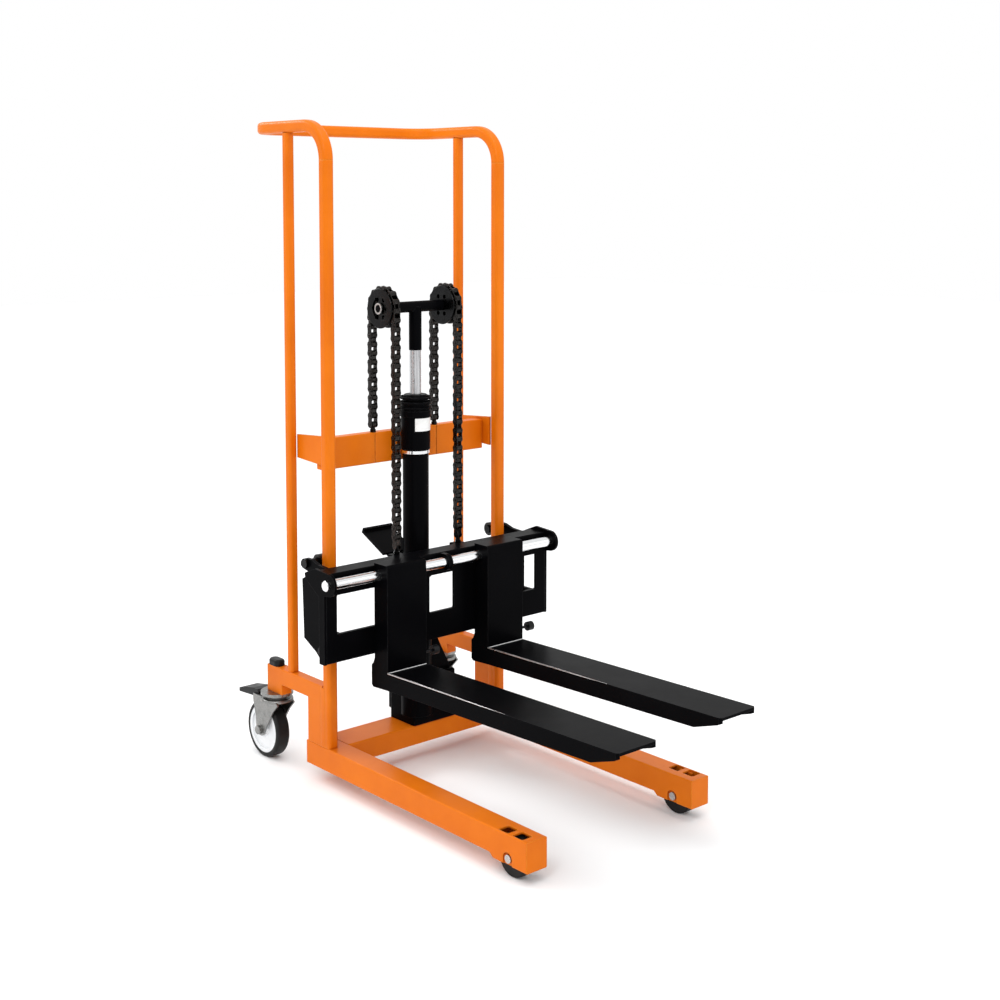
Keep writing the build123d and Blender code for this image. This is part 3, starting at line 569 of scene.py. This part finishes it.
for side, _ in SIDES:
    fork_low, fork_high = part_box(f"fork_{side}")
    glint_strips = bmesh.new()
    edge_x = fork_low.x + GLINT_IN
    edge_z = HEEL_Z - GLINT_DOWN
    edge_start = (edge_x, SHANK_Y, edge_z)
    edge_end = (edge_x, SHANK_Y - GLINT_REACH, edge_z + GLINT_REACH * BLADE_RISE)
    bar(glint_strips, edge_start, wire(GLINT_R, (1, 0, 0)), edge_end, wire(GLINT_END_R, (1, 0, 0)))
    foot_y = SHANK_Y - FOOT_FORWARD
    foot_section = wire(FOOT_R, (0, 1, 0))
    foot_left = (fork_low.x + FOOT_IN, foot_y, HEEL_Z)
    foot_right = (fork_high.x - FOOT_IN, foot_y, HEEL_Z)
    bar(glint_strips, foot_left, foot_section, foot_right, foot_section)
    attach(finish_piece(glint_strips, f"fork_painted_glint_{side}", GLINT_STEEL), f"fork_{side}")


# ------------------------------------------------------------------ welds beside the posts
# Ground flush between each front post's round corners and the column behind it.
WELD_DEPTH = 0.006
WELD_CROWN = 0.00036
WELD_TOP = ARM_TOP - 0.0025


def weld_section(inward):
    """Closed section of one weld about the seam, which reaches into the tube in direction inward."""
    inner = inward * WELD_DEPTH
    crown = -inward * WELD_CROWN
    outline = ((0, -0.0105), (crown, -0.005), (crown, 0), (0, 0.005), (inner, 0.003), (inner, -0.009))
    return [Vector((dx, dy, 0)) for dx, dy in outline]


for side, sx in SIDES:
    seam = bmesh.new()
    for outward in (sx, -sx):
        face_x = sx * POST_X + outward * POST_HALF
        section = weld_section(-outward)
        foot = (face_x, post_high.y, LEG_TOP)
        top = (face_x, post_high.y, WELD_TOP)
        bar(seam, foot, section, top, section)
    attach(finish_piece(seam, f"post_weld_{side}", ORANGE, 30.0), "frame")


# ------------------------------------------------------------------ stage
FLOOR_HALF = 14.0


def floor():
    """A wide flat floor under the object."""
    mesh = bpy.data.meshes.new("floor")
    bm = bmesh.new()
    bmesh.ops.create_grid(bm, x_segments=8, y_segments=8, size=FLOOR_HALF)
    bm.to_mesh(mesh)
    bm.free()
    obj = bpy.data.objects.new("floor", mesh)
    bpy.context.collection.objects.link(obj)
    mesh.materials.append(pale_floor())
    return obj


floor()


# ------------------------------------------------------------------ light
def studio_world():
    """Even white light from all around."""
    world = bpy.data.worlds.new("studio")
    bpy.context.scene.world = world
    world.use_nodes = True
    background = world.node_tree.nodes["Background"]
    background.inputs["Color"].default_value = (1.0, 1.0, 1.0, 1)
    background.inputs["Strength"].default_value = 1.0


def softbox(name, at, aim, size, power):
    """A rectangular area light that points at a place."""
    data = bpy.data.lights.new(name, "AREA")
    data.shape = "RECTANGLE"
    data.size, data.size_y = size
    data.energy = power
    obj = bpy.data.objects.new(name, data)
    bpy.context.collection.objects.link(obj)
    obj.location = at
    obj.rotation_euler = (Vector(aim) - Vector(at)).to_track_quat("-Z", "Y").to_euler()


def overhead(power, spread, lean):
    """Very soft light from above that keeps the floor bright out to the horizon."""
    data = bpy.data.lights.new("overhead", "SUN")
    data.energy = power
    data.angle = math.radians(spread)
    obj = bpy.data.objects.new("overhead", data)
    bpy.context.collection.objects.link(obj)
    obj.rotation_euler = (math.radians(lean[0]), math.radians(lean[1]), 0.0)


studio_world()
softbox("key", at=(-2.6, -1.6, 3.0), aim=(0, 0, 0.6), size=(1.0, 1.0), power=26)
softbox("fill", at=(2.4, -2.6, 1.8), aim=(0, 0, 0.5), size=(2.0, 2.0), power=6)
softbox("rim", at=(-1.0, 2.8, 2.6), aim=(0, 0, 0.7), size=(1.6, 0.8), power=30)
softbox("top", at=(0.0, -0.6, 3.4), aim=(0, -0.2, 0.1), size=(1.6, 1.6), power=22)
overhead(power=0.35, spread=70, lean=(8, -14))


# ------------------------------------------------------------------ camera
LOOK_DOWN = 4.75
LOOK_RIGHT = 40.85

camera = bpy.data.cameras.new("camera")
camera.sensor_width = 36.0
camera.lens = 54.72
camera.shift_x = 0.0192
camera.shift_y = -0.1783
eye = bpy.data.objects.new("camera", camera)
bpy.context.collection.objects.link(eye)
eye.location = (-2.034, -2.3415, 1.242)
eye.rotation_euler = (math.radians(90 - LOOK_DOWN), 0.0, math.radians(-LOOK_RIGHT))
bpy.context.scene.camera = eye
bpy.context.scene.view_settings.view_transform = "Standard"
